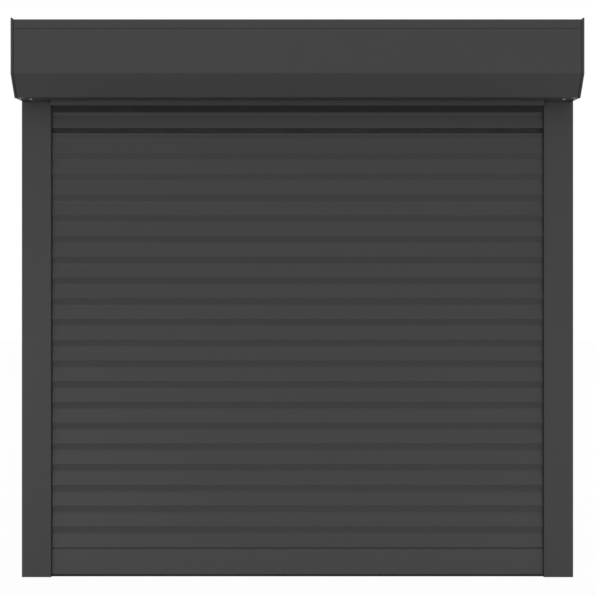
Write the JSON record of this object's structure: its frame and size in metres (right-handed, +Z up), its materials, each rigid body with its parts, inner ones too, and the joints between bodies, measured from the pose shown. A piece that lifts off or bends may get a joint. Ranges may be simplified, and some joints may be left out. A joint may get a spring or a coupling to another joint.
{
  "type": "exterior roller shutter",
  "caption": "Front-mounted roller shutter: 45 degree casing, guide rails and a curtain of hollow slats that a tubular motor lifts.",
  "frame": {"origin": "on the sill plane, in the middle of the width and of the casing's depth", "axes": "+X along the width to the right as seen from outside, +Y into the wall, +Z up"},
  "size_m": [1, 0.137, 1],
  "materials": {
    "casing_coat": "satin",
    "rail_coat": "satin",
    "slat_coat": "satin",
    "bar_coat": "satin",
    "zinc_steel": "satin",
    "bare_steel": "satin",
    "ball_steel": "polished",
    "spring_steel": "satin",
    "black_rubber": "matte",
    "grey_plastic": "matte",
    "black_plastic": "matte"
  },
  "bodies": {
    "casing_and_rails": {"bearing_bracket": "zinc_steel", "bearing_outer_ring": "bare_steel", "bracket_screws": "zinc_steel", "cable_gland": "black_rubber", "cover_screws": "bare_steel", "electric_motor": "bare_steel", "front_cover": "casing_coat", "gearbox": "bare_steel", "left_end_plate": "casing_coat", "left_guide_rail": "rail_coat", "left_inlet_funnel": "black_plastic", "left_rail_seals": "black_rubber", "motor_bracket": "zinc_steel", "motor_head": "black_plastic", "motor_housing": "zinc_steel", "motor_locking_clip": "spring_steel", "outlet_seal": "black_rubber", "panel_rivets": "casing_coat", "rear_panel": "casing_coat", "right_end_plate": "casing_coat", "right_guide_rail": "rail_coat", "right_inlet_funnel": "black_plastic", "right_rail_seals": "black_rubber", "top_cover": "casing_coat"},
    "roller": {"roller_tube": "zinc_steel", "tube_end_capsule": "grey_plastic", "bearing_pin": "zinc_steel", "bearing_inner_ring": "bare_steel", "bearing_balls": "ball_steel", "output_shaft": "bare_steel", "drive_wheel": "grey_plastic", "motor_crown": "grey_plastic", "hanger_clips": "grey_plastic", "curtain_hangers": "spring_steel"},
    "bottom_bar": {"bottom_bar": "bar_coat", "bottom_bar_seal": "black_rubber", "bottom_bar_end_caps": "black_plastic"},
    "slat_01": {"slat_01": "slat_coat"},
    "slat_02": {"slat_02": "slat_coat"},
    "slat_03": {"slat_03": "slat_coat"},
    "slat_04": {"slat_04": "slat_coat"},
    "slat_05": {"slat_05": "slat_coat"},
    "slat_06": {"slat_06": "slat_coat"},
    "slat_07": {"slat_07": "slat_coat"},
    "slat_08": {"slat_08": "slat_coat"},
    "slat_09": {"slat_09": "slat_coat"},
    "slat_10": {"slat_10": "slat_coat"},
    "slat_11": {"slat_11": "slat_coat"},
    "slat_12": {"slat_12": "slat_coat"},
    "slat_13": {"slat_13": "slat_coat"},
    "slat_14": {"slat_14": "slat_coat"},
    "slat_15": {"slat_15": "slat_coat"},
    "slat_16": {"slat_16": "slat_coat"},
    "slat_17": {"slat_17": "slat_coat"},
    "slat_18": {"slat_18": "slat_coat"},
    "slat_19": {"slat_19": "slat_coat"},
    "slat_20": {"slat_20": "slat_coat"},
    "slat_21": {"slat_21": "slat_coat"},
    "slat_22": {"slat_22": "slat_coat"}
  },
  "joints": [
    {"name": "curtain_lift", "type": "slide", "parent": "casing_and_rails", "child": "bottom_bar", "axis": [0, 0, 1], "range_m": [0, 0.8]},
    {"name": "tube_turn", "type": "hinge", "parent": "casing_and_rails", "child": "roller", "pos_m": [0, 0, 0.932], "axis": [1, 0, 0], "range_deg": [0, 1206.5], "deforming": ["curtain_hangers"]},
    {"name": "slat_01_lift", "type": "slide", "parent": "casing_and_rails", "child": "slat_01", "axis": [0, 0, 1], "range_m": [0, 0.0804], "deforming": ["slat_01"]},
    {"name": "slat_02_lift", "type": "slide", "parent": "casing_and_rails", "child": "slat_02", "axis": [0, 0, 1], "range_m": [0, 0.1215], "deforming": ["slat_02"]},
    {"name": "slat_03_lift", "type": "slide", "parent": "casing_and_rails", "child": "slat_03", "axis": [0, 0, 1], "range_m": [0, 0.1625], "deforming": ["slat_03"]},
    {"name": "slat_04_lift", "type": "slide", "parent": "casing_and_rails", "child": "slat_04", "axis": [0, 0, 1], "range_m": [0, 0.1961], "deforming": ["slat_04"]},
    {"name": "slat_05_lift", "type": "slide", "parent": "casing_and_rails", "child": "slat_05", "axis": [0, 0, 1], "range_m": [0, 0.2297], "deforming": ["slat_05"]},
    {"name": "slat_06_lift", "type": "slide", "parent": "casing_and_rails", "child": "slat_06", "axis": [0, 0, 1], "range_m": [0, 0.2633], "deforming": ["slat_06"]},
    {"name": "slat_07_lift", "type": "slide", "parent": "casing_and_rails", "child": "slat_07", "axis": [0, 0, 1], "range_m": [0, 0.2968], "deforming": ["slat_07"]},
    {"name": "slat_08_lift", "type": "slide", "parent": "casing_and_rails", "child": "slat_08", "axis": [0, 0, 1], "range_m": [0, 0.3304], "deforming": ["slat_08"]},
    {"name": "slat_09_lift", "type": "slide", "parent": "casing_and_rails", "child": "slat_09", "axis": [0, 0, 1], "range_m": [0, 0.364], "deforming": ["slat_09"]},
    {"name": "slat_10_lift", "type": "slide", "parent": "casing_and_rails", "child": "slat_10", "axis": [0, 0, 1], "range_m": [0, 0.3976], "deforming": ["slat_10"]},
    {"name": "slat_11_lift", "type": "slide", "parent": "casing_and_rails", "child": "slat_11", "axis": [0, 0, 1], "range_m": [0, 0.4311], "deforming": ["slat_11"]},
    {"name": "slat_12_lift", "type": "slide", "parent": "casing_and_rails", "child": "slat_12", "axis": [0, 0, 1], "range_m": [0, 0.4647], "deforming": ["slat_12"]},
    {"name": "slat_13_lift", "type": "slide", "parent": "casing_and_rails", "child": "slat_13", "axis": [0, 0, 1], "range_m": [0, 0.4983], "deforming": ["slat_13"]},
    {"name": "slat_14_lift", "type": "slide", "parent": "casing_and_rails", "child": "slat_14", "axis": [0, 0, 1], "range_m": [0, 0.5319], "deforming": ["slat_14"]},
    {"name": "slat_15_lift", "type": "slide", "parent": "casing_and_rails", "child": "slat_15", "axis": [0, 0, 1], "range_m": [0, 0.5655], "deforming": ["slat_15"]},
    {"name": "slat_16_lift", "type": "slide", "parent": "casing_and_rails", "child": "slat_16", "axis": [0, 0, 1], "range_m": [0, 0.599], "deforming": ["slat_16"]},
    {"name": "slat_17_lift", "type": "slide", "parent": "casing_and_rails", "child": "slat_17", "axis": [0, 0, 1], "range_m": [0, 0.6326], "deforming": ["slat_17"]},
    {"name": "slat_18_lift", "type": "slide", "parent": "casing_and_rails", "child": "slat_18", "axis": [0, 0, 1], "range_m": [0, 0.6662], "deforming": ["slat_18"]},
    {"name": "slat_19_lift", "type": "slide", "parent": "casing_and_rails", "child": "slat_19", "axis": [0, 0, 1], "range_m": [0, 0.6998], "deforming": ["slat_19"]},
    {"name": "slat_20_lift", "type": "slide", "parent": "casing_and_rails", "child": "slat_20", "axis": [0, 0, 1], "range_m": [0, 0.7333], "deforming": ["slat_20"]},
    {"name": "slat_21_lift", "type": "slide", "parent": "casing_and_rails", "child": "slat_21", "axis": [0, 0, 1], "range_m": [0, 0.7669], "deforming": ["slat_21"]},
    {"name": "slat_22_lift", "type": "slide", "parent": "casing_and_rails", "child": "slat_22", "axis": [0, 0, 1], "range_m": [0, 0.8005], "deforming": ["slat_22"]}
  ],
  "couplings": [
    {"joint": "tube_turn", "follows": "curtain_lift", "rad_per_m": 26.311},
    {"joint": "slat_01_lift", "follows": "curtain_lift", "ratio": 0.09987},
    {"joint": "slat_02_lift", "follows": "curtain_lift", "ratio": 0.1512},
    {"joint": "slat_03_lift", "follows": "curtain_lift", "ratio": 0.20254},
    {"joint": "slat_04_lift", "follows": "curtain_lift", "ratio": 0.24451},
    {"joint": "slat_05_lift", "follows": "curtain_lift", "ratio": 0.28649},
    {"joint": "slat_06_lift", "follows": "curtain_lift", "ratio": 0.32846},
    {"joint": "slat_07_lift", "follows": "curtain_lift", "ratio": 0.37043},
    {"joint": "slat_08_lift", "follows": "curtain_lift", "ratio": 0.4124},
    {"joint": "slat_09_lift", "follows": "curtain_lift", "ratio": 0.45437},
    {"joint": "slat_10_lift", "follows": "curtain_lift", "ratio": 0.49634},
    {"joint": "slat_11_lift", "follows": "curtain_lift", "ratio": 0.53831},
    {"joint": "slat_12_lift", "follows": "curtain_lift", "ratio": 0.58029},
    {"joint": "slat_13_lift", "follows": "curtain_lift", "ratio": 0.62226},
    {"joint": "slat_14_lift", "follows": "curtain_lift", "ratio": 0.66423},
    {"joint": "slat_15_lift", "follows": "curtain_lift", "ratio": 0.7062},
    {"joint": "slat_16_lift", "follows": "curtain_lift", "ratio": 0.74817},
    {"joint": "slat_17_lift", "follows": "curtain_lift", "ratio": 0.79014},
    {"joint": "slat_18_lift", "follows": "curtain_lift", "ratio": 0.83211},
    {"joint": "slat_19_lift", "follows": "curtain_lift", "ratio": 0.87409},
    {"joint": "slat_20_lift", "follows": "curtain_lift", "ratio": 0.91606},
    {"joint": "slat_21_lift", "follows": "curtain_lift", "ratio": 0.95803},
    {"joint": "slat_22_lift", "follows": "curtain_lift", "ratio": 1}
  ]
}
